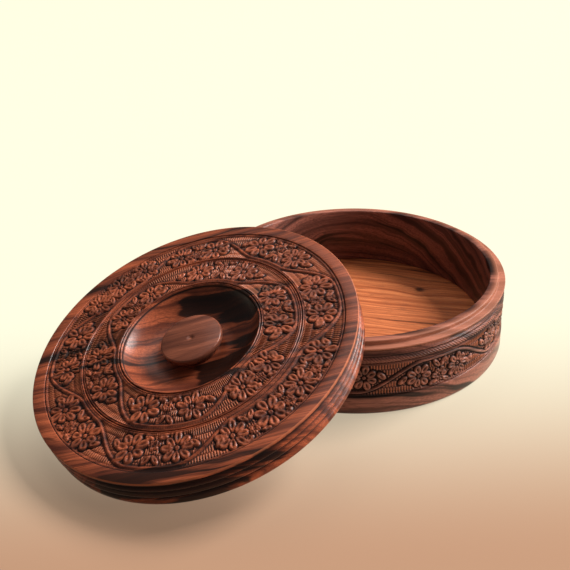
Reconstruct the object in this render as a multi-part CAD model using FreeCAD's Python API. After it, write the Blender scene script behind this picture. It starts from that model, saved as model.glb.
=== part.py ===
import FreeCAD, Part
import math
import os

# Round lidded box, turned from dark rosewood and carved, with its lid taken off and leaned on the rim.
# Origin at the centre of the underside, +Z up, the lid on the -X side. Millimetres.

# Box: overall sizes
box_radius = 100.0
ledge_height = 46.0
foot_round = 2.0

# Box: lip that the lid drops over, and the hollow inside
ledge_width = 4.6
lip_height = 3.0
lip_width = 5.4
lip_round = 0.8
bore_taper = 3.0
floor_height = 9.8

# Box: mouldings of the wall, from the ledge down
rim_edge_height = 1.2
rim_edge_round = 0.7
undercut_height = 1.4
undercut_depth = 2.4
neck_height = 3.2
neck_depth = 1.2
neck_hollow = 0.5
line_width = 0.6
line_depth = 1.6
rope_bead_height = 4.4
wall_carving_depth = 1.5
foot_band_height = 12.6

# Floor board
board_seat_width = 6.0
glue_gap = 0.1

# Lid: overall sizes
lid_thickness = 19.2
lid_edge_round = 0.5
seat_clearance = 0.5
lip_clearance = 0.5

# Lid: mouldings of the edge, from the top down
brim_height = 1.8
cove_height = 3.2
cove_depth = 2.6
upper_bead_height = 3.2
quirk_width = 0.7
quirk_depth = 1.9
lower_bead_height = 4.8
skirt_inset = 0.6

# Lid: face, from the rim in to the dish
face_rim_width = 7.8
face_groove_width = 1.2
face_groove_depth = 1.0
face_carving_depth = 1.3
middle_ring_radius = 67.5
middle_ring_rise = 1.6
dish_ring_radius = 43.6
dish_ring_rise = 4.0
ring_bead_width = 1.5
dish_floor_radius = 21.0
dish_depth = 8.0

# Carving of the bands: a vine crosses to and fro, with flowers in its bends.
# Each bend of a lid band is the angle where the vine crosses, and the flowers up to the next crossing.
outer_bends = [(28, 2), (65, 3), (107, 2), (150, 2), (192, 2), (236, 4), (304, 2), (343, 2)]
inner_bends = [(63, 2), (119, 2), (182, 2), (249, 2), (294, 2), (354, 2)]
wall_bend_count = 10
wall_first_bend = -122.7
wall_bend_flowers = 2
outer_crossing = 19.0
inner_crossing = 26.0
wall_crossing = 15.0
flower_share = 0.4
bend_end_room = 0.1
outer_flower_radius = 8.0
inner_flower_radius = 7.8
wall_flower_radius = 7.8
petal_count = 8
petal_valley = 0.74
vine_width = 2.7
vine_margin = 2.1
carving_root = 0.8
curve_parts = 4

# Knob
knob_radius = 18.7
knob_round = 1.3
knob_rise = 1.8
knob_lip = 3.4
stem_radius = 13.5
tenon_radius = 6.0
tenon_length = 4.6
tenon_end_gap = 0.3

# Lean of the lid: distance of its lower edge from the wall of the box, and the gap left at the lip
lean_reach = 123.0
lean_gap = 0.3

# Radii that follow: lip and hollow from the wall, board from the hollow, lid flush with the wall
lip_radius = box_radius - ledge_width
bore_radius = lip_radius - lip_width
bore_foot_radius = bore_radius - bore_taper
board_radius = bore_foot_radius + board_seat_width
lid_radius = box_radius
face_groove_radius = lid_radius - face_rim_width
lean_distance = box_radius + lean_reach


class Outline:
    """Half section of a turned piece: points are (radius, height)."""

    def __init__(self, radius, height):
        self.first = FreeCAD.Vector(radius, 0, height)
        self.last = self.first
        self.edges = []

    def line(self, radius, height):
        point = FreeCAD.Vector(radius, 0, height)
        self.edges.append(Part.LineSegment(self.last, point).toShape())
        self.last = point

    def arc(self, middle, end):
        through = FreeCAD.Vector(middle[0], 0, middle[1])
        point = FreeCAD.Vector(end[0], 0, end[1])
        self.edges.append(Part.Arc(self.last, through, point).toShape())
        self.last = point

    def bow(self, radius, height, swell):
        """Arc to a point, standing out by swell to the left of the way there."""
        way_r = radius - self.last.x
        way_z = height - self.last.z
        length = math.hypot(way_r, way_z)
        middle_r = (radius + self.last.x) / 2 - swell * way_z / length
        middle_z = (height + self.last.z) / 2 + swell * way_r / length
        self.arc((middle_r, middle_z), (radius, height))

    def corner(self, corner_radius, corner_height, radius, height):
        """Quarter round to a point, bending round the centre that faces the corner."""
        centre_r = self.last.x + radius - corner_radius
        centre_z = self.last.z + height - corner_height
        share = 1 - math.sqrt(0.5)
        middle_r = corner_radius + share * (centre_r - corner_radius)
        middle_z = corner_height + share * (centre_z - corner_height)
        self.arc((middle_r, middle_z), (radius, height))

    def turn(self):
        self.line(self.first.x, self.first.z)
        face = Part.Face(Part.Wire(self.edges))
        return face.revolve(FreeCAD.Vector(0, 0, 0), FreeCAD.Vector(0, 0, 1), 360)


def on_circle(radius, degrees, height):
    angle = math.radians(degrees)
    return FreeCAD.Vector(radius * math.cos(angle), radius * math.sin(angle), height)


class Band:
    """Plan of a carved band: places are (angle in degrees, distance across the band)."""

    def __init__(self, width, middle_radius, bends, crossing):
        self.width = width
        self.degree = math.radians(1) * middle_radius
        self.crossing = crossing
        ends = [angle for angle, count in bends[1:]] + [bends[0][0] + 360]
        self.stretches = [(start, end - start, count) for (start, count), end in zip(bends, ends)]

    def flowers(self):
        """Flower centres, spread along each bend on the side that the vine leaves free."""
        centres = []
        for number, (start, span, count) in enumerate(self.stretches):
            share = flower_share if number % 2 == 0 else 1 - flower_share
            for flower in range(count):
                way = (flower + 0.5 + bend_end_room) / (count + 2 * bend_end_room)
                centres.append((start + span * way, share * self.width))
        return centres

    def vine_edge(self, side):
        """Points of one edge of the vine, side -1 or 1: halfway, three quarters and all the way across."""
        swing = self.width - 2 * vine_margin
        places = []
        for number, (start, span, count) in enumerate(self.stretches):
            climb = [(self.crossing * (way - 0.5), way) for way in (0.5, 0.75, 1.0)]
            fall = [(span - turn, way) for turn, way in reversed(climb[1:])]
            for turn, way in climb + [(span / 2, 1.0)] + fall:
                share = way * way * (3 - 2 * way)
                slope = 6 * way * (1 - way) * swing / (self.crossing * self.degree)
                across = vine_margin + swing * (share if number % 2 == 0 else 1 - share)
                across += side * vine_width / 2 * math.hypot(1, slope)
                places.append((start + turn, across))
        return places


def closed_curve(points):
    """Smooth closed curve through points, as a run of edges."""
    curve = Part.BSplineCurve()
    curve.interpolate(Points=points, PeriodicFlag=True)
    first, last = curve.FirstParameter, curve.LastParameter
    cuts = [first + (last - first) * part / curve_parts for part in range(curve_parts + 1)]
    return [curve.toShape(start, end) for start, end in zip(cuts, cuts[1:])]


def ruled_ring(corners):
    """Ring-shaped solid whose section has four corners, each given by the points it passes through."""
    curves = [closed_curve(points) for points in corners]
    sides = []
    for first, second in zip(curves, curves[1:] + curves[:1]):
        sides += [Part.makeRuledSurface(near, far) for near, far in zip(first, second)]
    shell = Part.makeShell(sides)
    shell.sewShape()
    return Part.makeSolid(shell)


def flower_prism(radius, height):
    """Flower outline round the origin, in and out round its petals, carried up from below the ground."""
    half_step = 180 / petal_count
    points = []
    for turn in range(2 * petal_count):
        share = petal_valley if turn % 2 else 1
        points.append(on_circle(radius * share, turn * half_step, -carving_root))
    outline = Part.Face(Part.Wire(closed_curve(points)))
    return outline.extrude(FreeCAD.Vector(0, 0, carving_root + height))


def face_carving(inside, inside_height, outside, outside_height, bends, crossing, flower_radius):
    """Vine and flowers of one band of the lid, rising from its sloping ground."""
    band = Band(outside - inside, (inside + outside) / 2, bends, crossing)
    slope = (inside_height - outside_height) / band.width
    top = face_carving_depth
    corners = []
    for side, lift in ((-1, -carving_root), (1, -carving_root), (1, top), (-1, top)):
        corner = []
        for angle, across in band.vine_edge(side):
            corner.append(on_circle(inside + across, angle, inside_height - slope * across + lift))
        corners.append(corner)
    carving = [ruled_ring(corners)]
    for angle, across in band.flowers():
        flower = flower_prism(flower_radius, top)
        flower.rotate(FreeCAD.Vector(0, 0, 0), FreeCAD.Vector(0, 1, 0), math.degrees(math.atan(slope)))
        flower.translate(FreeCAD.Vector(inside + across, 0, inside_height - slope * across))
        flower.rotate(FreeCAD.Vector(0, 0, 0), FreeCAD.Vector(0, 0, 1), angle)
        carving.append(flower)
    return carving


def wall_carving(band_bottom, band_top, ground_radius):
    """Vine and flowers of the wall, rising from the ground of its band to the wall's face."""
    root_radius = ground_radius - carving_root
    step = 360 / wall_bend_count
    bends = [(wall_first_bend + step * bend, wall_bend_flowers) for bend in range(wall_bend_count)]
    band = Band(band_top - band_bottom, box_radius, bends, wall_crossing)
    corners = []
    for side, radius in ((-1, root_radius), (-1, box_radius), (1, box_radius), (1, root_radius)):
        places = band.vine_edge(side)
        corners.append([on_circle(radius, angle, band_bottom + across) for angle, across in places])
    carving = [ruled_ring(corners)]
    flower_top = math.sqrt(box_radius ** 2 - wall_flower_radius ** 2) - ground_radius
    for angle, across in band.flowers():
        flower = flower_prism(wall_flower_radius, flower_top)
        flower.rotate(FreeCAD.Vector(0, 0, 0), FreeCAD.Vector(0, 1, 0), 90)
        flower.translate(FreeCAD.Vector(ground_radius, 0, band_bottom + across))
        flower.rotate(FreeCAD.Vector(0, 0, 0), FreeCAD.Vector(0, 0, 1), angle)
        carving.append(flower)
    return carving


def make_box_wall():
    """Wall ring: rebate for the board below, bore and lip inside, mouldings and carving outside."""
    lip_top = ledge_height + lip_height
    undercut_top = ledge_height - rim_edge_height
    neck_top = undercut_top - undercut_height
    neck_bottom = neck_top - neck_height
    rope_top = neck_bottom - line_width
    rope_bottom = rope_top - rope_bead_height
    band_top = rope_bottom - line_width
    band_bottom = foot_band_height + line_width
    line_radius = box_radius - line_depth
    neck_radius = box_radius - neck_depth
    band_radius = box_radius - wall_carving_depth
    undercut_radius = box_radius - undercut_depth
    rebate_radius = board_radius + glue_gap

    ring = Outline(rebate_radius, 0)
    ring.line(rebate_radius, floor_height)
    ring.line(bore_foot_radius, floor_height)
    ring.line(bore_radius, lip_top - lip_round)
    ring.corner(bore_radius, lip_top, bore_radius + lip_round, lip_top)
    ring.line(lip_radius - lip_round, lip_top)
    ring.corner(lip_radius, lip_top, lip_radius, lip_top - lip_round)
    ring.line(lip_radius, ledge_height)
    ring.line(box_radius - rim_edge_round, ledge_height)
    ring.corner(box_radius, ledge_height, box_radius, ledge_height - rim_edge_round)
    ring.line(box_radius, undercut_top)
    ring.line(undercut_radius, undercut_top)
    ring.line(undercut_radius, neck_top)
    ring.bow(neck_radius, neck_bottom, -neck_hollow)
    ring.line(line_radius, neck_bottom)
    ring.line(line_radius, rope_top)
    ring.bow(line_radius, rope_bottom, line_depth)
    ring.line(line_radius, band_top)
    ring.line(band_radius, band_top)
    ring.line(band_radius, band_bottom)
    ring.line(line_radius, band_bottom)
    ring.line(line_radius, foot_band_height)
    ring.line(box_radius, foot_band_height)
    ring.line(box_radius, foot_round)
    ring.corner(box_radius, 0, box_radius - foot_round, 0)
    return ring.turn().fuse(wall_carving(band_bottom, band_top, band_radius))


def make_floor_board():
    """Disc let into the rebate from below, flush with the foot of the wall."""
    return Part.makeCylinder(board_radius, floor_height)


def make_lid_board():
    """Lid lying flat with its lower edge at height 0: recess below, moulded edge, carved face and dish."""
    recess_radius = lip_radius + lip_clearance
    recess_depth = lip_height + seat_clearance
    cove_top = lid_thickness - brim_height
    bead_top = cove_top - cove_height
    quirk_top = bead_top - upper_bead_height
    lower_top = quirk_top - quirk_width
    skirt_top = lower_top - lower_bead_height
    quirk_radius = lid_radius - quirk_depth
    skirt_radius = lid_radius - skirt_inset
    groove_outer = face_groove_radius + face_groove_width / 2
    groove_inner = face_groove_radius - face_groove_width / 2
    middle_height = lid_thickness + middle_ring_rise - face_carving_depth
    ring_height = lid_thickness + dish_ring_rise - face_carving_depth
    dish_floor = lid_thickness - dish_depth
    socket_radius = tenon_radius + glue_gap
    socket_floor = dish_floor - tenon_length - tenon_end_gap

    lid = Outline(0, recess_depth)
    lid.line(recess_radius, recess_depth)
    lid.line(recess_radius, 0)
    lid.line(skirt_radius - lid_edge_round, 0)
    lid.corner(skirt_radius, 0, skirt_radius, lid_edge_round)
    lid.line(skirt_radius, skirt_top - quirk_width)
    lid.line(quirk_radius, skirt_top - quirk_width)
    lid.line(quirk_radius, skirt_top)
    lid.bow(quirk_radius, lower_top, -quirk_depth)
    lid.line(quirk_radius, quirk_top)
    lid.bow(quirk_radius, bead_top, -quirk_depth)
    lid.bow(lid_radius, cove_top, cove_depth - quirk_depth / 2)
    lid.line(lid_radius, lid_thickness - lid_edge_round)
    lid.corner(lid_radius, lid_thickness, lid_radius - lid_edge_round, lid_thickness)
    lid.line(groove_outer, lid_thickness)
    lid.line(face_groove_radius, lid_thickness - face_groove_depth)
    lid.line(groove_inner, lid_thickness - face_carving_depth)
    lid.line(middle_ring_radius + ring_bead_width, middle_height)
    lid.bow(middle_ring_radius, middle_height, -face_carving_depth)
    lid.bow(middle_ring_radius - ring_bead_width, middle_height, -face_carving_depth)
    lid.line(dish_ring_radius + ring_bead_width, ring_height)
    lid.bow(dish_ring_radius, ring_height, -face_carving_depth)
    lid.bow(dish_ring_radius - ring_bead_width, ring_height, -face_carving_depth)
    dish_reach = dish_ring_radius - ring_bead_width - dish_floor_radius
    dish_drop = ring_height - dish_floor
    sweep = (dish_reach ** 2 + dish_drop ** 2) / (2 * dish_drop)
    half_turn = math.asin(dish_reach / sweep) / 2
    bend_r = dish_floor_radius + sweep * math.sin(half_turn)
    bend_z = dish_floor + sweep * (1 - math.cos(half_turn))
    lid.arc((bend_r, bend_z), (dish_floor_radius, dish_floor))
    lid.line(socket_radius, dish_floor)
    lid.line(socket_radius, socket_floor)
    lid.line(0, socket_floor)
    ground = lid_thickness - face_carving_depth
    outer = face_carving(
        middle_ring_radius + ring_bead_width, middle_height, groove_inner, ground,
        outer_bends, outer_crossing, outer_flower_radius,
    )
    inner = face_carving(
        dish_ring_radius + ring_bead_width, ring_height, middle_ring_radius - ring_bead_width, middle_height,
        inner_bends, inner_crossing, inner_flower_radius,
    )
    return lid.turn().fuse(outer + inner)


def make_lid_knob():
    """Flat-topped knob in the dish: undercut side, stem, and a tenon glued into the lid."""
    dish_floor = lid_thickness - dish_depth
    knob_top = lid_thickness + knob_rise
    lip_bottom = knob_top - knob_lip
    hollow = (knob_radius - stem_radius) / 3

    knob = Outline(0, dish_floor - tenon_length)
    knob.line(tenon_radius, dish_floor - tenon_length)
    knob.line(tenon_radius, dish_floor)
    knob.line(stem_radius, dish_floor)
    knob.bow(knob_radius, lip_bottom, hollow)
    knob.line(knob_radius, knob_top - knob_round)
    knob.corner(knob_radius, knob_top, knob_radius - knob_round, knob_top)
    knob.line(0, knob_top)
    return knob.turn()


def lean(piece):
    """Lay a piece of the lid against the lip: lower edge on the ground, recess ceiling on the lip."""
    recess_depth = lip_height + seat_clearance
    edge_centre = lid_radius - skirt_inset - lid_edge_round
    lip_centre_r = lip_radius - lip_round
    lip_centre_z = ledge_height + lip_height - lip_round
    run = lean_distance - lip_centre_r
    rise = lip_centre_z - lid_edge_round
    reach = recess_depth - lid_edge_round - lip_round - lean_gap
    tilt = math.acos(reach / math.hypot(run, rise)) - math.atan2(run, rise)
    leaned = piece.copy()
    leaned.translate(FreeCAD.Vector(edge_centre, 0, -lid_edge_round))
    leaned.rotate(FreeCAD.Vector(0, 0, 0), FreeCAD.Vector(0, 1, 0), -math.degrees(tilt))
    leaned.translate(FreeCAD.Vector(-lean_distance, 0, lid_edge_round))
    return leaned


pieces = {
    "box_wall": make_box_wall(),
    "floor_board": make_floor_board(),
    "lid_board": lean(make_lid_board()),
    "lid_knob": lean(make_lid_knob()),
}

os.makedirs("parts", exist_ok=True)
for name, shape in pieces.items():
    solid = shape.Solids[0]
    solid.exportStep(f"parts/{name}.step")
    box = solid.BoundBox
    print(
        f"{name}: valid {solid.isValid()}, volume {solid.Volume:.0f},"
        f" X {box.XMin:.2f} to {box.XMax:.2f}, Z {box.ZMin:.2f} to {box.ZMax:.2f}"
    )
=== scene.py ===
import math

import bmesh
import bpy
import numpy as np
from mathutils import Matrix, Vector


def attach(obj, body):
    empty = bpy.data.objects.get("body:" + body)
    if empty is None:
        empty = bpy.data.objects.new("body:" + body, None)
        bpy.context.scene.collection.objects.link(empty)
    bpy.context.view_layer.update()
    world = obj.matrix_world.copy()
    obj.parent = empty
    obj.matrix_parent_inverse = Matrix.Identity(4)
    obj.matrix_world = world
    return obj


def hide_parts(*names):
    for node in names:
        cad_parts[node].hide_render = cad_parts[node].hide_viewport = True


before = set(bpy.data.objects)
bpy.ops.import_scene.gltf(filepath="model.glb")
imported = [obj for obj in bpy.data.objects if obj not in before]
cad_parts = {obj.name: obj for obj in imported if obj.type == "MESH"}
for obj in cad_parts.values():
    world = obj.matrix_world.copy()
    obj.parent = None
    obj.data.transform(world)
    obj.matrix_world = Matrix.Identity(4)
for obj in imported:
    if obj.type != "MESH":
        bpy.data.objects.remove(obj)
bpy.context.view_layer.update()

# Box wall
# Ring turned from dark rosewood and oiled, its rope bead and its band of vine and flowers cut by hand.
# Its lip takes the lid, and the floor board is glued into its foot. Profiles are in millimetres.
mm = 0.001
box_radius = 100.0
ledge_height = 46.0
ledge_width = 4.6
lip_height = 3.0
lip_width = 5.4
lip_round = 0.8
bore_taper = 3.0
floor_height = 9.8
board_seat_width = 6.0
glue_gap = 0.1
rim_edge_height = 1.2
undercut_height = 1.4
undercut_depth = 2.4
neck_height = 3.2
neck_depth = 1.2
neck_hollow = 0.5
line_width = 0.6
line_depth = 1.6
line_slope = 0.1
rope_bead_height = 4.4
rope_strokes = 288
rope_slant = 2.6
rope_cut = 0.75
band_inset = 0.1
foot_band_height = 12.6
foot_round = 1.6
foot_flat = 1.0

lip_top = ledge_height + lip_height
lip_radius = box_radius - ledge_width
bore_radius = lip_radius - lip_width
bore_foot_radius = bore_radius - bore_taper
rebate_radius = bore_foot_radius + board_seat_width + glue_gap
undercut_top = ledge_height - rim_edge_height
undercut_radius = box_radius - undercut_depth
neck_top = undercut_top - undercut_height
neck_bottom = neck_top - neck_height
neck_radius = box_radius - neck_depth
line_radius = box_radius - line_depth
rope_top = neck_bottom - line_width
rope_bottom = rope_top - rope_bead_height
band_top = rope_bottom - line_width
band_bottom = foot_band_height + line_width
band_width = band_top - band_bottom

# Vine and flowers of the wall: ten even bends, cut deeper than the lid's, with painted shade that darkens
# the band the deeper it lies.
wall_first_bend = -122.7
wall_bend_count = 10
wall_bend_flowers = 2
wall_crossing = 24.0
wall_flower_radius = 8.8
wall_bud_radius = 5.6
wall_cut = 1.7
wall_cut_shade = 0.35

# Relief of a point: 0 at the bottom of a cut, 1 on plain polished wood, 2 where hands have rubbed it bare.
# Below 1 it darkens with dirt and painted shade, and above 1 it lightens with wear and painted highlights.
deep_cut = 0.0
in_cut = 0.3
plain = 1.0
rope_wear = 1.2
lip_wear_and_highlight = 1.6
rubbed_and_highlit = 2.0

# Points round the carved and the plain rings, and steps along the curved stretches.
wall_fine = 1440
wall_coarse = 240
wall_stroke_points = 4
wall_band_rings = 44
rope_steps = 11
neck_steps = 6
corner_points = 3


def smooth(t):
    """0 below 0, 1 above 1, and an even S between."""
    t = np.clip(t, 0.0, 1.0)
    return t * t * (3 - 2 * t)


def softened(points, radius):
    """A profile whose inner corners are rounded by up to radius, with three points for each corner."""
    most_of_side = 0.4
    points = [np.array(point, float) for point in points]
    out = [points[0]]
    for before, corner, after in zip(points, points[1:], points[2:]):
        back = before - corner
        ahead = after - corner
        cut = min(radius, most_of_side * np.linalg.norm(back), most_of_side * np.linalg.norm(ahead))
        start = corner + back * cut / np.linalg.norm(back)
        end = corner + ahead * cut / np.linalg.norm(ahead)
        out += [start, (start + 2 * corner + end) / 4, end]
    return out + [points[-1]]


def bow(start, end, swell, steps):
    """Points after start on an arc to end that stands out to the left by swell."""
    start = np.array(start, float)
    end = np.array(end, float)
    way = end - start
    left = np.array([-way[1], way[0]]) / np.linalg.norm(way)
    shares = np.linspace(0, 1, steps + 1)[1:]
    return [start + way * share + left * swell * 4 * share * (1 - share) for share in shares]


class Turning:
    """Rings of one turned piece, along its profile, each with the relief of its points."""

    def __init__(self, coarse):
        self.coarse = coarse
        self.rings = []
        self.reliefs = []

    def ring(self, radius, height, relief, count):
        """Radius, height and relief may change round the ring."""
        angle = np.arange(count) * 2 * math.pi / count
        level = height + np.zeros(count)
        self.rings.append(np.stack([radius * np.cos(angle), radius * np.sin(angle), level], 1))
        self.reliefs.append(relief + np.zeros(count))

    def follow(self, profile, relief):
        """Coarse rings along a profile."""
        for radius, height in profile:
            self.ring(radius, height, relief, self.coarse)

    def middle(self, height, relief):
        """One point on the turning axis, where the profile starts or ends."""
        self.ring(0.0, height, relief, 1)


def ring_faces(first, second, starts, counts):
    """Faces between two rings; the finer one has a whole number of points for each of the other's."""
    small, large = (first, second) if counts[first] <= counts[second] else (second, first)
    share = counts[large] // counts[small]
    faces = []
    for i in range(counts[small]):
        if counts[small] == 1:
            near = [starts[small]]
            spans = [[starts[large] + k, starts[large] + (k + 1) % share] for k in range(share)]
        else:
            near = [starts[small] + (i + 1) % counts[small], starts[small] + i]
            spans = [[starts[large] + (i * share + k) % counts[large] for k in range(share + 1)]]
        for span in spans:
            face = [int(corner) for corner in span + near]
            faces.append(face if large == first else face[::-1])
    return faces


def turned_mesh(name, turning, closed=False, place=None):
    """Object through the rings of a turning; closed joins the last ring to the first."""
    counts = [len(ring) for ring in turning.rings]
    starts = np.concatenate([[0], np.cumsum(counts)])
    pairs = [(number, number + 1) for number in range(len(counts) - 1)]
    if closed:
        pairs.append((len(counts) - 1, 0))
    faces = []
    for first, second in pairs:
        faces += ring_faces(first, second, starts, counts)
    points = np.concatenate(turning.rings)
    if place:
        points = place(points)
    mesh = bpy.data.meshes.new(name)
    mesh.from_pydata((points * mm).tolist(), [], faces)
    relief = mesh.attributes.new("relief", "FLOAT", "POINT")
    relief.data.foreach_set("value", np.concatenate(turning.reliefs).astype(np.float32))
    work = bmesh.new()
    work.from_mesh(mesh)
    bmesh.ops.recalc_face_normals(work, faces=work.faces)
    work.to_mesh(mesh)
    work.free()
    mesh.shade_smooth()
    piece = bpy.data.objects.new(name, mesh)
    bpy.context.collection.objects.link(piece)
    return piece


def flower_relief(x, y, radius, petals, turn):
    """Flower of scooped, uneven petals round a dimpled button: (height, cut round it), both 0 to 1."""
    petal_reach = 0.98
    petal_change = 0.08
    petal_middle = 0.58
    petal_half = 0.44
    petal_edge = 0.36
    petal_low = 0.68
    petal_rise = 0.3
    root_width = 0.32
    tip_width = 0.5
    scoop_middle = 0.6
    scoop_half = 0.34
    scoop_share = 0.42
    scoop_depth = 0.55
    scoop_edge = 0.9
    button_share = 0.17
    button_height = 0.8
    button_edge = 0.5
    dimple_share = 0.1
    dimple_depth = 0.4
    moat_share = 0.2
    moat_edge = 0.16
    heart_share = 0.62
    heart_edge = 0.8
    rho = np.hypot(x, y)
    step = 2 * math.pi / petals
    swing = np.arctan2(y, x) - turn + step / 2
    petal_number = np.floor(swing / step) % petals
    reach = radius * (petal_reach + petal_change * np.sin(2.3 * petal_number + 4 * turn))
    swing = swing % step - step / 2
    along = rho * np.cos(swing) / reach
    across = rho * np.sin(swing)
    half = radius * math.tan(step / 2) * (root_width + tip_width * along)
    petal = 1 - np.hypot((along - petal_middle) / petal_half, across / half)
    scoop = 1 - np.hypot((along - scoop_middle) / scoop_half, across / (scoop_share * half))
    button = 1 - rho / (button_share * radius)
    dimple = 1 - rho / (dimple_share * radius)
    height = smooth(petal / petal_edge) * (petal_low + petal_rise * rho / radius)
    height = height - scoop_depth * smooth(scoop / scoop_edge)
    height = np.maximum(height, button_height * smooth(button / button_edge) - dimple_depth * smooth(dimple))
    round_petals = smooth((petal + moat_share) / moat_edge)
    round_heart = smooth((heart_share * radius - rho) / heart_edge)
    return height, np.maximum(round_petals, round_heart)


def leaf_relief(x, y, length, width, turn):
    """One oval leaf with a hollow in it: (height, cut round it)."""
    leaf_edge = 0.4
    hollow_middle = 0.15
    hollow_length = 0.45
    hollow_width = 0.42
    hollow_depth = 0.55
    hollow_edge = 0.7
    moat_share = 0.35
    moat_edge = 0.3
    along = x * math.cos(turn) + y * math.sin(turn)
    across = y * math.cos(turn) - x * math.sin(turn)
    leaf = 1 - np.hypot(along / length, across / width)
    hollow_along = (along - hollow_middle * length) / (hollow_length * length)
    hollow = 1 - np.hypot(hollow_along, across / (hollow_width * width))
    height = smooth(leaf / leaf_edge) - hollow_depth * smooth(hollow / hollow_edge)
    return height, smooth((leaf + moat_share) / moat_edge)


def vine_course(degrees, crossings, spread):
    """Share of the band's width, 0 to 1, that the vine has crossed at each angle."""
    course = np.zeros_like(degrees)
    for number, crossing in enumerate(crossings):
        way = 1 if number % 2 == 0 else -1
        for lap in (-360, 0, 360):
            course += way * smooth((degrees - crossing - lap) / spread + 0.5)
    return course


def carved_band(degrees, across, width, degree_mm, bends, spread, flower_radius, bud_radius, strokes):
    """Vine, flowers, leaves and combed ground over a grid of angles and distances across a band.

    Bends give the angle where the vine crosses and the flowers up to the next crossing. Returns the
    height, 0 at the deepest cut to 1 at the face, and the relief that shades it: grime and painted shade
    in the cuts, painted shade on the vine, and wear and painted highlights on stroke tips and raised tops."""
    vine_margin = 2.1
    vine_half = 0.95
    vine_height = 0.75
    vine_round = 0.35
    vine_edge = 0.9
    vine_moat = 1.5
    vine_moat_depth = 0.8
    vine_moat_edge = 0.7
    bend_end_room = 0.1
    flower_aside = 0.08
    flower_change = 0.05
    flower_petals = 7
    flower_room = 1.5
    bud_aside = 0.2
    bud_petals = 6
    leaf_room = 9.0
    # A leaf on each side of the vine where it crosses: places along and across, half sizes and lean.
    crossing_along = 6.6
    crossing_across = 2.6
    crossing_length = 4.2
    crossing_width = 2.3
    crossing_lean = 0.9
    # Leaves between two flowers: place along, share across, half length, half width and lean.
    gap_leaves = [(2.4, 0.2, 4.4, 1.9, 1.2), (4.6, -0.4, 3.6, 1.6, -0.3)]
    row_width = 4.3
    row_fade = 0.7
    ground_low = 0.06
    stroke_height = 0.58
    border_width = 0.7
    border_edge = 0.5
    open_limit = 0.75
    moat_dirt_and_shade = 0.98
    stroke_dirt_and_shade = 0.55
    stroke_wear_and_highlight = 1.5
    petal_wear_and_highlight = 0.4
    wear_start = 0.55
    wear_span = 0.35
    vine_painted_shade = 0.6
    vine_dark_round = 0.3
    vine_dark_edge = 0.5

    crossings = [angle for angle, count in bends]
    course = vine_margin + (width - 2 * vine_margin) * vine_course(degrees[0], crossings, spread)
    slope = np.gradient(course) / (np.gradient(degrees[0]) * degree_mm)
    off_vine = np.abs(across - course) / np.sqrt(1 + slope * slope)
    raised = vine_height * smooth((vine_half + vine_round - off_vine) / vine_edge)
    moat = vine_moat_depth * smooth((vine_half + vine_moat - off_vine) / vine_moat_edge)

    def press(angle, place, shape, room, *size):
        """Add one flower or leaf, with its middle at an angle and a distance across the band."""
        swing = (degrees - angle + 180) % 360 - 180
        x = swing * degree_mm
        y = across - place
        near = (np.abs(x) < room) & (np.abs(y) < room)
        height, cut = shape(x[near], y[near], *size)
        raised[near] = np.maximum(raised[near], height)
        moat[near] = np.maximum(moat[near], cut)

    mean_degree = np.mean(degree_mm)
    ends = crossings[1:] + [crossings[0] + 360]
    for number, ((start, count), end) in enumerate(zip(bends, ends)):
        way = 1 if number % 2 == 0 else -1
        pitch = (end - start) / (count + 2 * bend_end_room)
        for flower in range(count):
            angle = start + pitch * (flower + 0.5 + bend_end_room)
            size = flower_radius * (1 + flower_change * math.sin(7 * number + 3 * flower))
            petals = flower_petals + (number + flower) % 2
            turn = number + 2.3 * flower
            place = width * (0.5 - flower_aside * way)
            press(angle, place, flower_relief, flower_room * size, size, petals, turn)
        for side in (-1, 1):
            angle = start + side * crossing_along / mean_degree
            place = width / 2 - way * side * crossing_across
            turn = math.atan2(way * crossing_lean, side)
            press(angle, place, leaf_relief, leaf_room, crossing_length, crossing_width, turn)
        for gap in range(1, count):
            middle = start + pitch * (gap + bend_end_room)
            place = width * (0.5 - bud_aside * way)
            press(middle, place, flower_relief, flower_room * bud_radius, bud_radius, bud_petals, number)
            for away, aside, leaf_length, leaf_width, lean in gap_leaves:
                for side in (-1, 1):
                    angle = middle + side * away / mean_degree
                    place = width * (0.5 + aside * way)
                    turn = math.atan2(way * lean, side)
                    press(angle, place, leaf_relief, leaf_room, leaf_length, leaf_width, turn)

    row = np.floor(across / row_width)
    comb = 0.5 + 0.5 * np.cos(np.radians(degrees) * strokes + math.pi * row)
    comb *= smooth((row_width / 2 - np.abs(across % row_width - row_width / 2)) / row_fade)
    ground = ground_low + stroke_height * comb
    border = smooth((border_width - np.minimum(across, width - across)) / border_edge)
    height = np.maximum(np.maximum(ground * (1 - moat), raised), border)
    open_ground = 1 - smooth(np.maximum(raised, border) / open_limit)
    # Cuts round the flowers and between the strokes get dirt and painted shade.
    relief = plain - open_ground * np.maximum(moat_dirt_and_shade * moat, stroke_dirt_and_shade * (1 - comb))
    # Stroke tips get wear and a painted highlight.
    relief += stroke_wear_and_highlight * open_ground * (1 - moat) * comb
    # Raised tops get wear and a painted highlight, and the vine gets painted shade.
    on_vine = smooth((vine_half + vine_dark_round - off_vine) / vine_dark_edge)
    relief += (petal_wear_and_highlight - vine_painted_shade * on_vine) * smooth((raised - wear_start) / wear_span)
    return height, relief


wall_angles = np.arange(wall_fine) * 360.0 / wall_fine
wall_across = np.linspace(0, band_width, wall_band_rings)
wall_grid = np.meshgrid(wall_angles, wall_across)
wall_pitch = 360.0 / wall_bend_count
wall_heights, wall_shades = carved_band(
    wall_grid[0], wall_grid[1], band_width, math.radians(1) * box_radius,
    bends=[(wall_first_bend + wall_pitch * bend, wall_bend_flowers) for bend in range(wall_bend_count)],
    spread=wall_crossing, flower_radius=wall_flower_radius, bud_radius=wall_bud_radius,
    strokes=wall_fine // wall_stroke_points,
)

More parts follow.
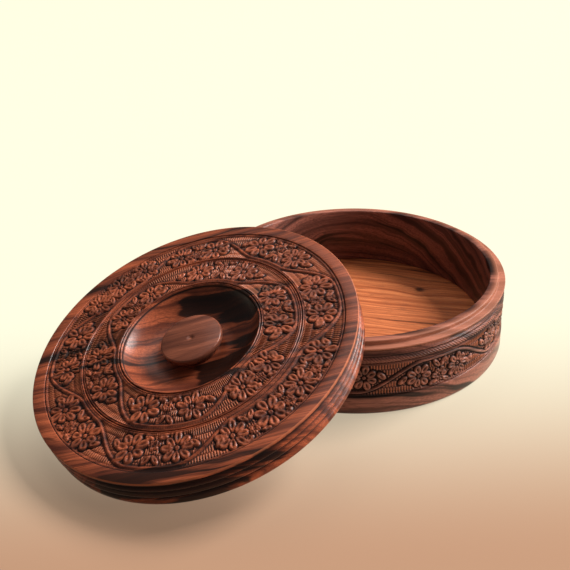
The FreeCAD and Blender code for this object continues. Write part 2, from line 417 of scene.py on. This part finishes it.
wall = Turning(wall_coarse)
hollow = [(rebate_radius, 0), (rebate_radius, floor_height)]
hollow += [(bore_foot_radius, floor_height), (bore_radius, lip_top)]
lip = [(lip_radius, lip_top), (lip_radius, ledge_height), (box_radius, ledge_height)]
lip += [(box_radius, undercut_top), (undercut_radius, undercut_top)]
inside = softened(hollow + lip, lip_round)
lip_start = 1 + corner_points * (len(hollow) - 1)
wall.follow(inside[:lip_start], plain)
# The lip and ledge are lightened by wear and a painted highlight.
wall.follow(inside[lip_start:-1], lip_wear_and_highlight)
# The undercut under the ledge is darkened to near black by dirt and painted shade.
wall.follow([inside[-1], (undercut_radius, neck_top)], deep_cut)
wall.follow(bow((undercut_radius, neck_top), (neck_radius, neck_bottom), -neck_hollow, neck_steps), plain)
# So is the fine line under the neck.
wall.follow([(line_radius, neck_bottom - line_slope), (line_radius, rope_top + line_slope)], deep_cut)
rope_start = (line_radius, rope_top)
# The rope's strands are darker in their grooves with dirt and painted shade.
for radius, height in [rope_start] + bow(rope_start, (line_radius, rope_bottom), line_depth, rope_steps):
    lift = math.sqrt(max(0.0, (radius - line_radius) / line_depth))
    twist = rope_slant * (height - rope_bottom) / rope_bead_height
    turn = np.arange(wall_fine) * rope_strokes / wall_fine + twist
    strand = 1 - np.abs(2 * (turn % 1.0) - 1) ** 2
    relief = in_cut + (rope_wear - in_cut) * strand * lift
    wall.ring(radius - rope_cut * lift * (1 - strand), height, relief, wall_fine)
for across, heights, shades in zip(wall_across[::-1], wall_heights[::-1], wall_shades[::-1]):
    radius = box_radius - band_inset - wall_cut * (1 - heights)
    # Painted shade darkens the band the deeper it is cut.
    wall.ring(radius, band_bottom + across, shades - wall_cut_shade * (1 - heights), wall_fine)
foot = [(line_radius, band_bottom - line_slope), (line_radius, foot_band_height)]
foot += [(box_radius, foot_band_height), (box_radius, 0), (rebate_radius + foot_flat, 0)]
foot = softened(foot, foot_round)
# The line above the foot is darkened by dirt and painted shade.
wall.follow(foot[:1], in_cut)
wall.follow(foot[1:], plain)
box_wall = turned_mesh("box_wall_carved", wall, closed=True)


def new_group(name, inputs, outputs):
    """Empty shader node group with named sockets."""
    group = bpy.data.node_groups.new(name, "ShaderNodeTree")
    for label, kind, value in inputs:
        socket = group.interface.new_socket(label, in_out="INPUT", socket_type=kind)
        if value is not None:
            socket.default_value = value
    for label, kind in outputs:
        group.interface.new_socket(label, in_out="OUTPUT", socket_type=kind)
    return group


class Board:
    """Short calls to add and wire shader nodes in one tree."""

    def __init__(self, tree):
        self.tree = tree

    def node(self, kind, **settings):
        made = self.tree.nodes.new(kind)
        for key, value in settings.items():
            setattr(made, key, value)
        return made

    def wire(self, source, target):
        self.tree.links.new(source, target)

    def feed(self, socket, value):
        if isinstance(value, bpy.types.NodeSocket):
            self.wire(value, socket)
        else:
            socket.default_value = value

    def math(self, operation, *values):
        made = self.node("ShaderNodeMath", operation=operation)
        for socket, value in zip(made.inputs, values):
            self.feed(socket, value)
        return made.outputs[0]

    def scaled(self, vector, scale):
        made = self.node("ShaderNodeVectorMath", operation="MULTIPLY")
        self.feed(made.inputs[0], vector)
        made.inputs[1].default_value = scale
        return made.outputs[0]

    def distance(self, first, second):
        made = self.node("ShaderNodeVectorMath", operation="DISTANCE")
        self.feed(made.inputs[0], first)
        self.feed(made.inputs[1], second)
        return made.outputs["Value"]

    def noise(self, vector, detail):
        made = self.node("ShaderNodeTexNoise")
        self.wire(vector, made.inputs["Vector"])
        made.inputs["Scale"].default_value = 1.0
        made.inputs["Detail"].default_value = detail
        return made.outputs["Fac"]

    def span(self, value, low, high):
        """0 below low, 1 above high, and an even S between."""
        made = self.node("ShaderNodeMapRange", interpolation_type="SMOOTHSTEP")
        self.feed(made.inputs["Value"], value)
        made.inputs["From Min"].default_value = low
        made.inputs["From Max"].default_value = high
        return made.outputs[0]

    def mix(self, share, first, second):
        made = self.node("ShaderNodeMix", data_type="RGBA")
        self.feed(made.inputs[0], share)
        self.feed(made.inputs[6], first)
        self.feed(made.inputs[7], second)
        return made.outputs[2]


def rosewood_figure():
    """Growth bands, streaks, fibres and pores of a board, over a place in millimetres, X along the grain."""
    group = new_group(
        "rosewood_figure",
        [
            ("Place", "NodeSocketVector", None),
            ("Band Width", "NodeSocketFloat", 5.0),
            ("Bend", "NodeSocketFloat", 24.0),
            ("Streaks", "NodeSocketFloat", 0.5),
            ("Knot Place", "NodeSocketVector", None),
            ("Knot Swell", "NodeSocketFloat", 0.0),
            ("Pale", "NodeSocketColor", (0.3, 0.09, 0.045, 1)),
            ("Dark", "NodeSocketColor", (0.1, 0.025, 0.014, 1)),
            ("Black", "NodeSocketColor", (0.01, 0.005, 0.004, 1)),
        ],
        [("Color", "NodeSocketColor"), ("Pores", "NodeSocketFloat")],
    )
    bend_scale = (0.007, 0.022, 0.022)
    fibre_scale = (0.05, 1.5, 1.5)
    pore_scale = (0.1, 2.4, 2.4)
    knot_fade = -0.12
    knot_heart = 0.8
    streak_gain = 0.2
    b = Board(group)
    into = b.node("NodeGroupInput").outputs
    out = b.node("NodeGroupOutput").inputs
    place = into["Place"]
    axes = b.node("ShaderNodeSeparateXYZ")
    b.wire(place, axes.inputs[0])
    near_knot = b.math("EXPONENT", b.math("MULTIPLY", b.distance(place, into["Knot Place"]), knot_fade))
    knot = b.math("MULTIPLY", near_knot, into["Knot Swell"])
    bend = b.noise(b.scaled(place, bend_scale), 3.0)
    off = b.math("MULTIPLY", b.math("SUBTRACT", bend, 0.5), into["Bend"])
    sideways = b.math("POWER", axes.outputs[1], 2.0)
    upwards = b.math("POWER", axes.outputs[2], 2.0)
    from_pith = b.math("SQRT", b.math("ADD", sideways, upwards))
    growth = b.math("DIVIDE", b.math("ADD", b.math("ADD", from_pith, off), knot), into["Band Width"])

    def along_growth(stretch, widen, start, detail):
        """Noise drawn out along the grain and layered by growth."""
        spot = b.node("ShaderNodeCombineXYZ")
        b.feed(spot.inputs[0], b.math("MULTIPLY", axes.outputs[0], stretch))
        b.feed(spot.inputs[1], b.math("MULTIPLY", growth, widen))
        spot.inputs[2].default_value = start
        return b.noise(spot.outputs[0], detail)

    tone = b.span(along_growth(0.004, 1.3, 0.0, 6.0), 0.32, 0.68)
    crowding = b.math("MULTIPLY", into["Streaks"], streak_gain)
    black = b.span(b.math("ADD", along_growth(0.006, 0.8, 4.0, 6.0), crowding), 0.68, 0.76)
    lines = b.span(along_growth(0.006, 3.2, 9.0, 3.0), 0.52, 0.68)
    fibre = b.span(b.noise(b.scaled(place, fibre_scale), 3.0), 0.3, 0.7)
    pores = b.span(b.noise(b.scaled(place, pore_scale), 2.0), 0.56, 0.7)
    knot_share = b.math("MINIMUM", into["Knot Swell"], knot_heart)
    heart = b.math("MULTIPLY", b.span(near_knot, 0.55, 0.85), knot_share)
    shade = b.mix(tone, into["Pale"], into["Dark"])
    shade = b.mix(b.math("MULTIPLY", fibre, 0.5), shade, into["Dark"])
    shade = b.mix(b.math("MULTIPLY", lines, 0.75), shade, into["Dark"])
    shade = b.mix(b.math("MULTIPLY", pores, 0.5), shade, into["Black"])
    shade = b.mix(b.math("MULTIPLY", black, 0.92), shade, into["Black"])
    shade = b.mix(heart, shade, into["Black"])
    b.wire(shade, out["Color"])
    b.wire(pores, out["Pores"])
    return group


def wear_dirt_and_painted_light():
    """Grime, old polish and painted shade in cuts, and raw wood from handling with painted highlights on
    edges and tops, from the relief of a piece.
    """
    group = new_group(
        "wear_dirt_and_painted_light",
        [
            ("Color", "NodeSocketColor", (0.5, 0.5, 0.5, 1)),
            ("Relief", "NodeSocketFloat", plain),
            ("Dirt And Shade", "NodeSocketColor", (0.010, 0.004, 0.003, 1)),
            ("Bare And Highlight", "NodeSocketColor", (0.48, 0.155, 0.07, 1)),
            ("Rubbing And Highlight", "NodeSocketFloat", 0.5),
        ],
        [("Color", "NodeSocketColor"), ("Roughness", "NodeSocketFloat")],
    )
    dirt_and_shade_share = 0.97
    polished_roughness = 0.31
    matt_roughness = 0.55
    b = Board(group)
    into = b.node("NodeGroupInput").outputs
    out = b.node("NodeGroupOutput").inputs
    # Relief below plain blends towards near black: dirt in the cuts, and painted shade.
    dirt_and_shade = b.math("SUBTRACT", 1.0, b.span(into["Relief"], 0.1, 0.95))
    # Relief above plain blends towards raw wood: wear, and painted highlights on edges and tops.
    bare_and_highlight = b.math("MULTIPLY", b.span(into["Relief"], plain, rubbed_and_highlit), into["Rubbing And Highlight"])
    tone = b.mix(b.math("MULTIPLY", dirt_and_shade, dirt_and_shade_share), into["Color"], into["Dirt And Shade"])
    b.wire(b.mix(bare_and_highlight, tone, into["Bare And Highlight"]), out["Color"])
    matt = b.math("MULTIPLY", b.math("ADD", dirt_and_shade, bare_and_highlight), matt_roughness)
    b.wire(b.math("ADD", polished_roughness, matt), out["Roughness"])
    return group


figure_group = rosewood_figure()
wear_and_light_group = wear_dirt_and_painted_light()


def wood_material(name, turn, shift, band, bend, streaks, pale, dark, rubbing_and_highlight=0.0, knot=None, hearts=()):
    """Oiled rosewood: the board's figure, grime and painted shade in cuts, wear and painted highlights on
    edges and tops by its relief, and pores as a fine bump.

    Turn and shift lay the piece in its board, whose pith runs along X. Hearts are (place, reach, weight)
    where black heartwood crowds together."""
    knot_swell = 7.0
    pore_strength = 0.3
    pore_depth = 0.1
    sheen = 0.25
    material = bpy.data.materials.new(name)
    material.use_nodes = True
    b = Board(material.node_tree)
    shader = material.node_tree.nodes["Principled BSDF"]
    spot = b.node("ShaderNodeTexCoord").outputs["Object"]
    laid = b.node("ShaderNodeMapping")
    laid.inputs["Scale"].default_value = (1 / mm, 1 / mm, 1 / mm)
    laid.inputs["Rotation"].default_value = turn
    laid.inputs["Location"].default_value = shift
    b.wire(spot, laid.inputs["Vector"])
    crowding = streaks
    for heart, reach, weight in hearts:
        near = b.span(b.distance(spot, Vector(heart) * mm), reach * mm, 0)
        crowding = b.math("ADD", crowding, b.math("MULTIPLY", near, weight))
    figure = b.node("ShaderNodeGroup", node_tree=figure_group)
    b.wire(laid.outputs[0], figure.inputs["Place"])
    b.feed(figure.inputs["Streaks"], crowding)
    figure.inputs["Band Width"].default_value = band
    figure.inputs["Bend"].default_value = bend
    figure.inputs["Pale"].default_value = (*pale, 1)
    figure.inputs["Dark"].default_value = (*dark, 1)
    if knot:
        figure.inputs["Knot Place"].default_value = knot
        figure.inputs["Knot Swell"].default_value = knot_swell
    # Dirt and painted shade in the cuts, and wear and painted highlights on edges and tops, come from the
    # relief.
    worn_and_lit = b.node("ShaderNodeGroup", node_tree=wear_and_light_group)
    b.wire(figure.outputs["Color"], worn_and_lit.inputs["Color"])
    worn_and_lit.inputs["Rubbing And Highlight"].default_value = rubbing_and_highlight
    if rubbing_and_highlight:
        relief = b.node("ShaderNodeAttribute", attribute_name="relief")
        b.wire(relief.outputs["Fac"], worn_and_lit.inputs["Relief"])
    b.wire(worn_and_lit.outputs["Color"], shader.inputs["Base Color"])
    b.wire(worn_and_lit.outputs["Roughness"], shader.inputs["Roughness"])
    bump = b.node("ShaderNodeBump")
    bump.inputs["Strength"].default_value = pore_strength
    bump.inputs["Distance"].default_value = pore_depth * mm
    b.wire(b.math("SUBTRACT", 1.0, figure.outputs["Pores"]), bump.inputs["Height"])
    b.wire(bump.outputs[0], shader.inputs["Normal"])
    shader.inputs["Specular IOR Level"].default_value = sheen
    return material


wall_grain = math.radians(41)
wall_pith = 150.0
wall_hearts = [((-16, 88, 32), 30.0, 0.7), ((80, 40, 30), 60.0, 0.3)]
box_wall.data.materials.append(
    wood_material(
        "wall_rosewood", turn=(0, 0, wall_grain), shift=(0, 0, -wall_pith),
        band=7.0, bend=26.0, streaks=0.7, pale=(0.41, 0.148, 0.1), dark=(0.055, 0.02, 0.0145),
        rubbing_and_highlight=0.6, hearts=wall_hearts,
    )
)
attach(box_wall, "box")
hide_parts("box_wall")

# Floor board
# Disc of paler, straight-grained wood with one small knot, let into the foot of the ring from below and
# glued. It is left smooth, so its plain turned solid is the right shape already.
floor_grain = math.radians(58)
floor_pith = 260.0
knot_x = 60.8
knot_y = -8.1
knot_along = knot_x * math.cos(floor_grain) - knot_y * math.sin(floor_grain)
knot_across = knot_x * math.sin(floor_grain) + knot_y * math.cos(floor_grain)
floor_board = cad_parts["floor_board"]
floor_board.data.materials.clear()
floor_board.data.materials.append(
    wood_material(
        "floor_rosewood", turn=(0, 0, floor_grain), shift=(0, floor_pith, 0),
        band=4.5, bend=22.0, streaks=0.35, pale=(0.82, 0.27, 0.1), dark=(0.34, 0.085, 0.03),
        knot=(knot_along, knot_across + floor_pith, floor_height),
    )
)

# Lid board
# One turned disc of the same wood: recess below for the lip, moulded edge, plain rim, two carved bands
# between raised double rings, and a polished dish. It is loose, and leans with one edge on the ground.
lid_thickness = 19.2
lid_edge_round = 0.5
seat_clearance = 0.5
lip_clearance = 0.5
skirt_inset = 0.6
lower_bead_height = 4.8
upper_bead_height = 3.2
quirk_width = 0.7
quirk_depth = 1.9
cove_height = 3.2
cove_swell = 1.65
brim_height = 1.8
brim_seam = 0.01
face_rim_width = 7.8
face_groove_width = 1.2
face_groove_depth = 1.0
face_groove_corner = 0.2
face_cut = 1.3
middle_ring_radius = 67.5
middle_ring_rise = 1.6
dish_ring_radius = 43.6
dish_ring_rise = 4.0
ring_bead_width = 1.5
dish_floor_radius = 21.0
dish_depth = 8.0
dish_brow = 0.94
lean_reach = 123.0
lean_gap = 0.3

recess_radius = lip_radius + lip_clearance
recess_depth = lip_height + seat_clearance
skirt_radius = box_radius - skirt_inset
quirk_radius = box_radius - quirk_depth
cove_top = lid_thickness - brim_height
upper_bead_top = cove_top - cove_height
upper_bead_bottom = upper_bead_top - upper_bead_height
lower_bead_top = upper_bead_bottom - quirk_width
lower_bead_bottom = lower_bead_top - lower_bead_height
skirt_top = lower_bead_bottom - quirk_width
groove_radius = box_radius - face_rim_width
groove_outer = groove_radius + face_groove_width / 2
groove_inner = groove_radius - face_groove_width / 2
middle_outer = middle_ring_radius + ring_bead_width
middle_inner = middle_ring_radius - ring_bead_width
dish_outer = dish_ring_radius + ring_bead_width
dish_inner = dish_ring_radius - ring_bead_width
dish_floor = lid_thickness - dish_depth

# Vine and flowers of the face: each bend is the angle of a crossing, and the flowers up to the next one.
outer_bends = [(28, 2), (65, 3), (107, 2), (150, 2), (192, 2), (236, 4), (304, 2), (343, 2)]
inner_bends = [(63, 2), (119, 2), (182, 2), (249, 2), (294, 2), (354, 2)]

# Relief of the edge's beads, of the rim, and of the underside, which is left unpolished.
bead_wear = 1.1
rim_wear = 1.1
unpolished = 1.8

# Points round the carved and the plain rings, steps along the curved stretches, and rings on the flat ones.
lid_fine = 1440
lid_coarse = 180
edge_bead_steps = 8
ring_bead_steps = 6
cove_steps = 6
dish_steps = 14
under_radii = (40.0, 80.0)
dish_middle_radius = 12.0

lean_distance = box_radius + lean_reach
lean_run = lean_distance - (lip_radius - lip_round)
lean_climb = lip_top - lip_round - lid_edge_round
lean_seat = recess_depth - lid_edge_round - lip_round - lean_gap
lid_tilt = math.acos(lean_seat / math.hypot(lean_run, lean_climb)) - math.atan2(lean_run, lean_climb)


def leaned(points):
    """Points of the lid lying flat, moved to where it leans on the lip."""
    x = points[:, 0] + skirt_radius - lid_edge_round
    z = points[:, 2] - lid_edge_round
    along = x * math.cos(lid_tilt) - z * math.sin(lid_tilt) - lean_distance
    up = x * math.sin(lid_tilt) + z * math.cos(lid_tilt) + lid_edge_round
    return np.stack([along, points[:, 1], up], 1)


lid = Turning(lid_coarse)


def edge_bead(low, high):
    """Half-round bead on the lid's edge, darkened with grime and painted shade where it meets its grooves.
    """
    lid.follow([(quirk_radius, low)], in_cut)
    bead = bow((quirk_radius, low), (quirk_radius, high), -quirk_depth, edge_bead_steps)
    for number, point in enumerate(bead, 1):
        lid.follow([point], in_cut + (bead_wear - in_cut) * math.sin(math.pi * number / edge_bead_steps))


def face_line(radius):
    """Height of the lid's slightly domed face, without its carving."""
    places = [dish_ring_radius, middle_ring_radius, groove_inner]
    rises = [dish_ring_rise, middle_ring_rise, 0.0]
    return lid_thickness + np.interp(radius, places, rises)


def face_band(outside, inside, rings, stroke_points, **carving):
    """Carve one band of the face, from outside in."""
    angles = np.arange(lid_fine) * 360.0 / lid_fine
    across = np.linspace(outside - inside, 0, rings)
    grid = np.meshgrid(angles, across)
    degree_mm = np.radians(1) * (inside + grid[1])
    strokes = lid_fine // stroke_points
    heights, shades = carved_band(grid[0], grid[1], outside - inside, degree_mm, strokes=strokes, **carving)
    for step, height, shade in zip(across, heights, shades):
        radius = inside + step
        lid.ring(radius, face_line(radius) - face_cut * (1 - height), shade, lid_fine)


def double_bead(outside, middle, inside, rise):
    """Two small half-round rings side by side, with grime and painted shade in the grooves beside them."""
    base = lid_thickness + rise - face_cut
    for start, end in [(outside, middle), (middle, inside)]:
        bead = bow((start, base), (end, base), -face_cut, ring_bead_steps)
        lid.follow(bead[:1], in_cut)
        lid.follow(bead[1:-1], plain)
        lid.follow(bead[-1:], deep_cut)


lid.middle(recess_depth, unpolished)
under = [(radius, recess_depth) for radius in (*under_radii, recess_radius)]
under += [(recess_radius, 0), (skirt_radius, 0), (skirt_radius, skirt_top)]
under = softened(under, lid_edge_round)
skirt_points = corner_points + 1
lid.follow(under[:-skirt_points], unpolished)
lid.follow(under[-skirt_points:], plain)
# The quirk above the skirt is darkened by dirt and painted shade.
lid.follow([(quirk_radius, skirt_top)], in_cut)
edge_bead(lower_bead_bottom, lower_bead_top)
edge_bead(upper_bead_bottom, upper_bead_top)
cove = bow((quirk_radius, upper_bead_top), (box_radius, cove_top), cove_swell, cove_steps)
# The cove darkens towards its foot with dirt and painted shade.
for number, point in enumerate(cove):
    lid.follow([point], in_cut + (plain - in_cut) * number / (cove_steps - 1))
rim = [(box_radius, cove_top + brim_seam), (box_radius, lid_thickness), (groove_outer, lid_thickness)]
rim += [(groove_outer - face_groove_corner, lid_thickness - face_groove_corner)]
rim = softened(rim, lid_edge_round)
lid.follow(rim[:1], plain)
# The rounded top corner is lightened towards raw wood as a painted highlight.
lid.follow(rim[1:3], rubbed_and_highlit)
lid.follow(rim[3:], rim_wear)
# The groove inside the rim is darkened to near black by dirt and painted shade.
lid.follow([(groove_radius, lid_thickness - face_groove_depth)], deep_cut)
face_band(
    groove_inner, middle_outer, rings=31, stroke_points=4,
    bends=outer_bends, spread=27.0, flower_radius=10.3, bud_radius=3.8,
)
double_bead(middle_outer, middle_ring_radius, middle_inner, middle_ring_rise)
face_band(
    middle_inner, dish_outer, rings=27, stroke_points=5,
    bends=inner_bends, spread=36.0, flower_radius=9.8, bud_radius=3.6,
)
double_bead(dish_outer, dish_ring_radius, dish_inner, dish_ring_rise)
dish_drop = lid_thickness + dish_ring_rise - face_cut - dish_floor
dish_run = dish_inner - dish_floor_radius
dish_sweep = (dish_run ** 2 + dish_drop ** 2) / (2 * dish_drop)
for share in np.linspace(dish_brow, 0, dish_steps):
    bend = share * math.asin(dish_run / dish_sweep)
    radius = dish_floor_radius + dish_sweep * math.sin(bend)
    lid.follow([(radius, dish_floor + dish_sweep * (1 - math.cos(bend)))], plain)
lid.follow([(dish_middle_radius, dish_floor)], plain)
lid.middle(dish_floor, plain)
lid_board = turned_mesh("lid_board_carved", lid, place=leaned)

lid_grain = math.radians(41)
dish_dark = [(24, 27, 14), (36, 10, 14), (38, -10, 14), (10, -32, 14), (-8, -27, 13), (-2, -36, 14)]
dish_dark_weight = 1.7
edge_dark_radius = 99.0
edge_dark_height = 12.0
edge_dark_weight = 1.1
dark_reach = 20.0
edge_dark = [
    (edge_dark_radius * math.cos(turn), edge_dark_radius * math.sin(turn), edge_dark_height)
    for turn in np.radians(range(200, 256, 11))
]
lid_hearts = [(spot, dark_reach, dish_dark_weight) for spot in leaned(np.array(dish_dark, float))]
lid_hearts += [(spot, dark_reach, edge_dark_weight) for spot in leaned(np.array(edge_dark))]
lid_board.data.materials.append(
    wood_material(
        "lid_rosewood", turn=(0, lid_tilt, lid_grain), shift=(81, 30, -110),
        band=6.0, bend=34.0, streaks=0.45, pale=(0.49, 0.118, 0.048), dark=(0.08, 0.019, 0.011),
        rubbing_and_highlight=0.6, hearts=lid_hearts,
    )
)
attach(lid_board, "lid")
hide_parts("lid_board")

# Knob
# Flat-topped turned knob of the same wood, standing in the dish on its tenon, which is glued into the lid.
# The lathe's centre left a small mark in its top.
knob_radius = 18.7
knob_rise = 1.8
knob_lip = 3.4
knob_round = 1.0
stem_radius = 13.5
stem_hollow = 1.7
stem_steps = 8
knob_coarse = 180

# The mark: depth in its middle, radius and depth of its two rings, and radius where the flat top begins.
mark_depth = 0.6
mark_rings = [(0.9, 0.5), (1.6, 0.05)]
flat_radius = 3.0

knob_top = lid_thickness + knob_rise
knob_lip_bottom = knob_top - knob_lip
knob = Turning(knob_coarse)
knob.middle(knob_top - mark_depth, rubbed_and_highlit)
knob.follow([(radius, knob_top - depth) for radius, depth in mark_rings], plain)
flat_top = [(flat_radius, knob_top), (knob_radius, knob_top), (knob_radius, knob_lip_bottom)]
knob.follow(softened(flat_top, knob_round), plain)
knob.follow(bow((knob_radius, knob_lip_bottom), (stem_radius, dish_floor), -stem_hollow, stem_steps), plain)
knob.middle(dish_floor, plain)
lid_knob = turned_mesh("lid_knob_turned", knob, place=leaned)
lid_knob.data.materials.append(
    wood_material(
        "knob_rosewood", turn=(0, lid_tilt, lid_grain), shift=(81, 110, -40),
        band=4.0, bend=18.0, streaks=0.3, pale=(0.32, 0.1, 0.054), dark=(0.1, 0.03, 0.018),
        rubbing_and_highlight=0.6,
    )
)
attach(lid_knob, "lid")
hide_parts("lid_knob")

# Floor and light
# Plain pale ground, tan only just in front of the box and cream everywhere else. A large soft lamp from
# the right gives the shadows, a weak one hangs above, and a lower one, also on the right, fills the front.
ground_half = 6.0
ground_drop = 0.0002
tan_tone = (0.43, 0.255, 0.16, 1)
cream_tone = (1.0, 0.985, 0.76, 1)
fill_tone = (0.13, 0.126, 0.121, 1)
tan_start = -0.225
tan_end = 0.035
tan_reach = 0.5
tan_limit = 1.3
near_glow = 0.38
far_glow = 0.55
light_aim = Vector((-0.06, 0, 0.03))
lamp_tint = (1.0, 0.95, 0.92)
top_tint = (1.0, 0.97, 0.93)
look_azimuth = math.radians(48.571)

ground_mesh = bpy.data.meshes.new("ground")
corners = [(x * ground_half, y * ground_half, 0) for x, y in [(-1, -1), (1, -1), (1, 1), (-1, 1)]]
ground_mesh.from_pydata(corners, [], [(0, 1, 2, 3)])
ground = bpy.data.objects.new("ground", ground_mesh)
bpy.context.collection.objects.link(ground)
ground.location.z = -ground_drop
ground_look = bpy.data.materials.new("ground")
ground_look.use_nodes = True
b = Board(ground_look.node_tree)
shader = ground_look.node_tree.nodes["Principled BSDF"]
shader.inputs["Roughness"].default_value = 0.9
shader.inputs["Specular IOR Level"].default_value = 0.1
spot = b.node("ShaderNodeTexCoord").outputs["Object"]
turned = b.node("ShaderNodeMapping")
turned.inputs["Rotation"].default_value = (0, 0, -look_azimuth)
b.wire(spot, turned.inputs["Vector"])
axes = b.node("ShaderNodeSeparateXYZ")
b.wire(turned.outputs[0], axes.inputs[0])
away = b.node("ShaderNodeVectorMath", operation="LENGTH")
b.wire(spot, away.inputs[0])
behind = b.span(axes.outputs[0], tan_start, tan_end)
far = b.span(away.outputs["Value"], tan_reach, tan_limit)
paleness = b.math("MAXIMUM", behind, far)
tone = b.mix(paleness, tan_tone, cream_tone)
b.wire(tone, shader.inputs["Base Color"])
glow = b.node("ShaderNodeEmission")
b.wire(tone, glow.inputs["Color"])
seen = b.node("ShaderNodeLightPath").outputs
straight = b.math("MAXIMUM", seen["Is Glossy Ray"], seen["Is Transmission Ray"])
straight = b.math("MAXIMUM", seen["Is Camera Ray"], straight)
glowing = b.math("ADD", near_glow, b.math("MULTIPLY", paleness, far_glow))
blend = b.node("ShaderNodeMixShader")
b.wire(b.math("MULTIPLY", straight, glowing), blend.inputs[0])
b.wire(shader.outputs[0], blend.inputs[1])
b.wire(glow.outputs[0], blend.inputs[2])
b.wire(blend.outputs[0], ground_look.node_tree.nodes["Material Output"].inputs["Surface"])
ground_mesh.materials.append(ground_look)


def soft_lamp(name, place, size, power, tint):
    """Square lamp turned towards the box."""
    lamp = bpy.data.lights.new(name, "AREA")
    lamp.shape = "SQUARE"
    lamp.size = size
    lamp.energy = power
    lamp.color = tint
    holder = bpy.data.objects.new(name, lamp)
    holder.location = place
    holder.rotation_euler = (light_aim - place).to_track_quat("-Z", "Y").to_euler()
    bpy.context.collection.objects.link(holder)


right = Vector((math.sin(look_azimuth), -math.cos(look_azimuth), 0))
ahead = Vector((math.cos(look_azimuth), math.sin(look_azimuth), 0))
up = Vector((0, 0, 1))
soft_lamp("side_lamp", right * 3.6 + ahead * 1.5 + up * 3.4, size=2.0, power=480.0, tint=lamp_tint)
soft_lamp("top_lamp", right * -0.1 + ahead * 0.6 + up * 1.4, size=0.9, power=6.0, tint=top_tint)
soft_lamp("front_lamp", right * 3.1 - ahead * 0.5 + up * 1.1, size=1.6, power=78.0, tint=lamp_tint)
# The sky is cream to the camera only; the box gets a dim, even fill from it.
world = bpy.data.worlds.new("studio")
world.use_nodes = True
b = Board(world.node_tree)
sky = world.node_tree.nodes["Background"]
sky_seen = b.node("ShaderNodeLightPath").outputs["Is Camera Ray"]
b.wire(b.mix(sky_seen, fill_tone, cream_tone), sky.inputs["Color"])
sky.inputs["Strength"].default_value = 1.0
bpy.context.scene.world = world
bpy.context.scene.view_settings.view_transform = "Standard"

# Camera
# Stands where the photograph was taken from, found from the rings of the lid and the rim of the box, and
# leans a little to one side as the photograph does.
camera_place = (-0.39875, -0.38187, 0.33581)
camera_pitch = math.radians(28.567)
camera_roll = math.radians(-2.14)
camera_lens = 58.34
camera_sensor = 36.0
camera = bpy.data.objects.new("camera", bpy.data.cameras.new("camera"))
camera.data.sensor_width = camera_sensor
camera.data.lens = camera_lens
facing = Matrix.Rotation(look_azimuth - math.pi / 2, 4, "Z")
aim = facing @ Matrix.Rotation(math.pi / 2 - camera_pitch, 4, "X")
camera.matrix_world = Matrix.Translation(camera_place) @ aim @ Matrix.Rotation(camera_roll, 4, "Z")
bpy.context.collection.objects.link(camera)
bpy.context.scene.camera = camera
